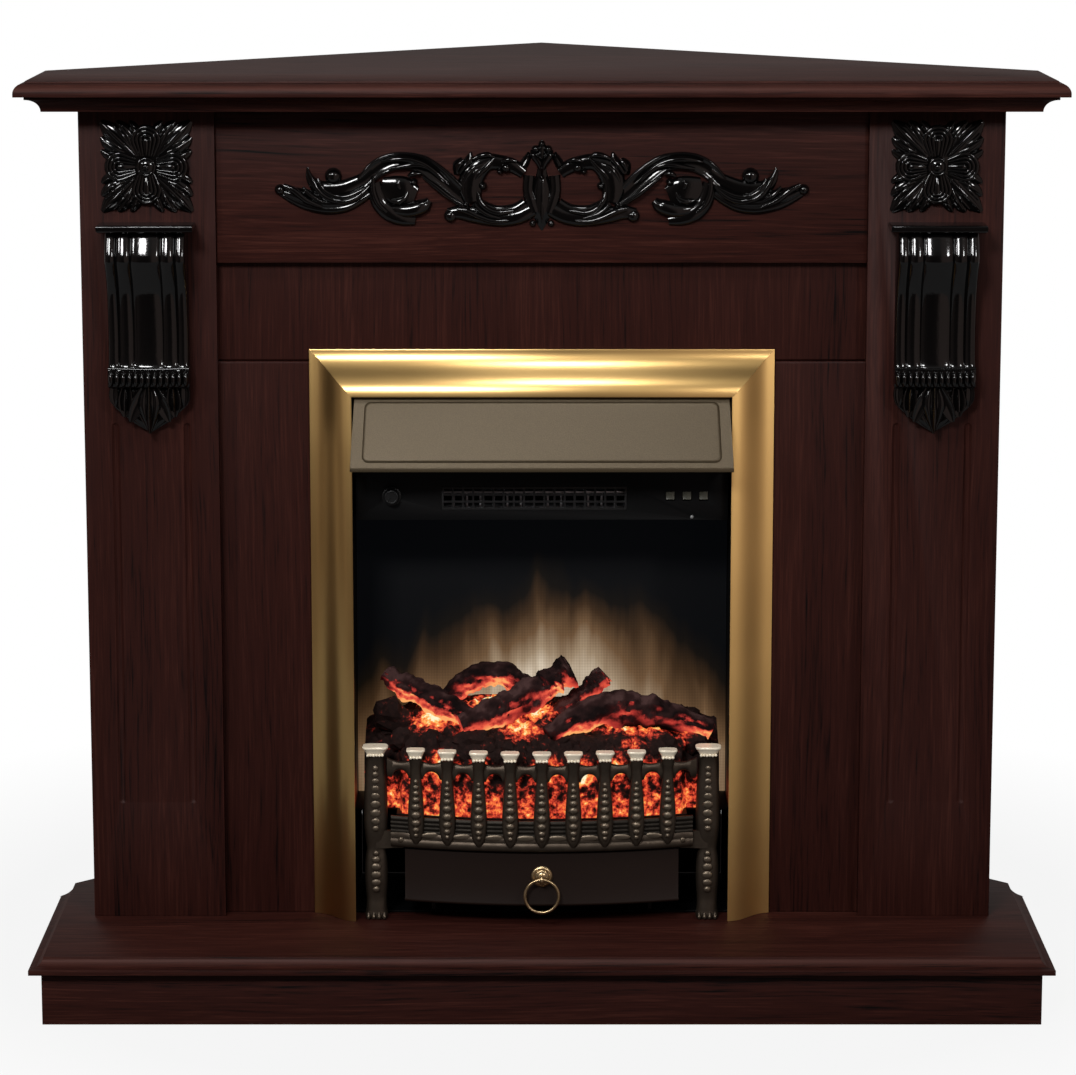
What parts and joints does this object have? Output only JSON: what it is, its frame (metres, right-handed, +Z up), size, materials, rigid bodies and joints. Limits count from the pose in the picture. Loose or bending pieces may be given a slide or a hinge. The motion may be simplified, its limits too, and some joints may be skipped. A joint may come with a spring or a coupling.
{
  "type": "corner electric fireplace",
  "caption": "Veneered corner fireplace surround with carved ornaments and an inset electric log-effect fire with canopy, blower, fret and ash pan.",
  "frame": {"origin": "centre of the bounding box on the floor, between the hearth board's front edge and the corner of the walls", "axes": "+X to the right along the front, +Y back into the corner, +Z up"},
  "size_m": [1.073, 0.811, 0.9633],
  "materials": {
    "veneer": "dark red-brown open-grain veneer, satin",
    "gloss_carving": "gloss black",
    "trim_brass": "polished",
    "black_steel": "black satin paint",
    "bronze_paint": "fine textured bronze paint",
    "black_plastic": "black moulded plastic",
    "rocker_cap": "dull cream plastic",
    "lamp_lens": "dark red lens, unlit",
    "zinc": "zinc-plated sheet",
    "flame_screen": "dark screen with an optical flame",
    "lamp_glass": "warm lit bulb",
    "ember": "moulded glowing embers",
    "charred_log": "moulded charred wood",
    "fret_brass": "antiqued casting with bright worn caps",
    "pull_brass": "polished"
  },
  "bodies": {
    "fireplace": {"base_top_board": "veneer", "plinth_front": "veneer", "plinth_side_left": "veneer", "plinth_side_right": "veneer", "plinth_wall_left": "veneer", "plinth_wall_right": "veneer", "facade_left_board": "veneer", "facade_right_board": "veneer", "facade_lintel": "veneer", "pilaster_left": "veneer", "pilaster_right": "veneer", "frieze_board": "veneer", "side_panel_left": "veneer", "side_panel_right": "veneer", "cornice_board": "veneer", "mantel_top": "veneer", "frieze_ornament": "gloss_carving", "rosette_left": "gloss_carving", "rosette_right": "gloss_carving", "corbel_left": "gloss_carving", "corbel_right": "gloss_carving", "trim_top": "trim_brass", "trim_left": "trim_brass", "trim_right": "trim_brass", "housing_shell": "black_steel", "rear_cover": "black_steel", "cable_gland": "black_plastic", "hood": "bronze_paint", "control_fascia": "black_steel", "outlet_grille": "black_plastic", "switch_block": "black_plastic", "indicator_lamp": "lamp_lens", "knob_control": "zinc", "fan_scroll": "zinc", "fan_motor": "zinc", "heating_element": "zinc", "flame_screen": "flame_screen", "spindle_motor": "zinc", "spindle_bearing": "zinc", "fuel_shelf": "black_steel", "lamp_left": "lamp_glass", "lamp_right": "lamp_glass", "ember_bed": "ember", "log_1": "charred_log", "log_2": "charred_log", "log_3": "charred_log", "log_4": "charred_log", "log_5": "charred_log", "fret_front": "fret_brass", "fret_post_left": "fret_brass", "fret_post_right": "fret_brass", "ash_pan": "black_steel", "pull_rose": "pull_brass"},
    "ring": {"pull_ring": "pull_brass"},
    "rocker_1": {"rocker_switch_1": "rocker_cap"},
    "rocker_2": {"rocker_switch_2": "rocker_cap"},
    "rocker_3": {"rocker_switch_3": "rocker_cap"},
    "knob": {"flame_knob": "black_plastic"},
    "fan": {"fan_impeller": "zinc"},
    "spindle": {"flame_spindle": "zinc"}
  },
  "joints": [
    {"name": "ring_swing", "type": "hinge", "parent": "fireplace", "child": "ring", "pos_m": [0, -0.2875, 0.125], "axis": [-1, 0, 0], "range_deg": [0, 140]},
    {"name": "rocker_1_rock", "type": "hinge", "parent": "fireplace", "child": "rocker_1", "pos_m": [0.1342, -0.245, 0.529], "axis": [1, 0, 0], "range_deg": [0, 16]},
    {"name": "rocker_2_rock", "type": "hinge", "parent": "fireplace", "child": "rocker_2", "pos_m": [0.1516, -0.245, 0.529], "axis": [1, 0, 0], "range_deg": [0, 16]},
    {"name": "rocker_3_rock", "type": "hinge", "parent": "fireplace", "child": "rocker_3", "pos_m": [0.169, -0.245, 0.529], "axis": [1, 0, 0], "range_deg": [0, 16]},
    {"name": "knob_turn", "type": "hinge", "parent": "fireplace", "child": "knob", "pos_m": [-0.157, -0.2475, 0.529], "axis": [0, 1, 0], "range_deg": [0, 270]},
    {"name": "fan_turn", "type": "hinge", "parent": "fireplace", "child": "fan", "pos_m": [0, -0.1675, 0.5675], "axis": [1, 0, 0], "continuous": true},
    {"name": "spindle_turn", "type": "hinge", "parent": "fireplace", "child": "spindle", "pos_m": [0, -0.1105, 0.262], "axis": [1, 0, 0], "continuous": true}
  ]
}
